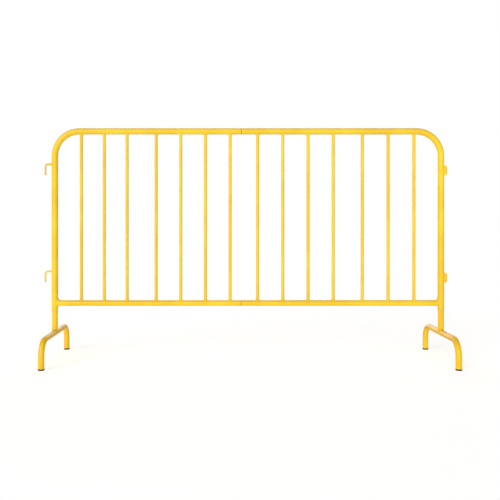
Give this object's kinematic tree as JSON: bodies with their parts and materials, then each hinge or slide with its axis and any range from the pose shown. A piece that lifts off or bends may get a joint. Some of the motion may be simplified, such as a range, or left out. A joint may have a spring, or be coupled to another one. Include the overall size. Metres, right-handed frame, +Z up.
{
  "type": "crowd control barrier",
  "caption": "Freestanding steel pedestrian barrier with upright bars, a knock-down frame, lift-out bridge feet, and end hooks and receivers that link barriers in a row.",
  "frame": {"origin": "on the floor, midway between the axes of the two end legs", "axes": "+X along the barrier from the hook end to the receiver end, +Y from front to rear, +Z up"},
  "size_m": [1.9957, 0.5578, 1.145],
  "materials": {
    "frame_powder_coat": "glossy yellow powder coat",
    "foot_powder_coat": "glossy yellow powder coat, a little deeper in tone",
    "black_rubber": "matt moulded rubber",
    "zinc_plate": "bright zinc plate"
  },
  "bodies": {
    "panel": {"left_frame_tube": "frame_powder_coat", "left_bottom_rail": "frame_powder_coat", "right_frame_tube": "frame_powder_coat", "right_bottom_rail": "frame_powder_coat", "bar_01": "frame_powder_coat", "bar_02": "frame_powder_coat", "bar_03": "frame_powder_coat", "bar_04": "frame_powder_coat", "bar_05": "frame_powder_coat", "bar_06": "frame_powder_coat", "bar_07": "frame_powder_coat", "bar_08": "frame_powder_coat", "bar_09": "frame_powder_coat", "bar_10": "frame_powder_coat", "bar_11": "frame_powder_coat", "bar_12": "frame_powder_coat", "bar_13": "frame_powder_coat", "bar_14": "frame_powder_coat", "upper_hook": "frame_powder_coat", "upper_receiver": "frame_powder_coat", "lower_hook": "frame_powder_coat", "lower_receiver": "frame_powder_coat", "top_joint_screw": "zinc_plate", "bottom_joint_screw": "zinc_plate"},
    "left_ring": {"left_stop_ring": "foot_powder_coat"},
    "left_foot": {"left_foot_bridge": "foot_powder_coat", "left_foot_stem": "foot_powder_coat", "left_front_cap": "black_rubber", "left_rear_cap": "black_rubber"},
    "right_ring": {"right_stop_ring": "foot_powder_coat"},
    "right_foot": {"right_foot_bridge": "foot_powder_coat", "right_foot_stem": "foot_powder_coat", "right_front_cap": "black_rubber", "right_rear_cap": "black_rubber"}
  },
  "joints": [
    {"name": "left_foot_pull", "type": "slide", "parent": "panel", "child": "left_ring", "axis": [0, 0, 1], "range_m": [-0.09, 0]},
    {"name": "left_foot_swivel", "type": "hinge", "parent": "left_ring", "child": "left_foot", "pos_m": [-0.957, 0, 0.244], "axis": [0, 0, 1], "continuous": true},
    {"name": "right_foot_pull", "type": "slide", "parent": "panel", "child": "right_ring", "axis": [0, 0, 1], "range_m": [-0.09, 0]},
    {"name": "right_foot_swivel", "type": "hinge", "parent": "right_ring", "child": "right_foot", "pos_m": [0.957, 0, 0.244], "axis": [0, 0, 1], "continuous": true}
  ]
}
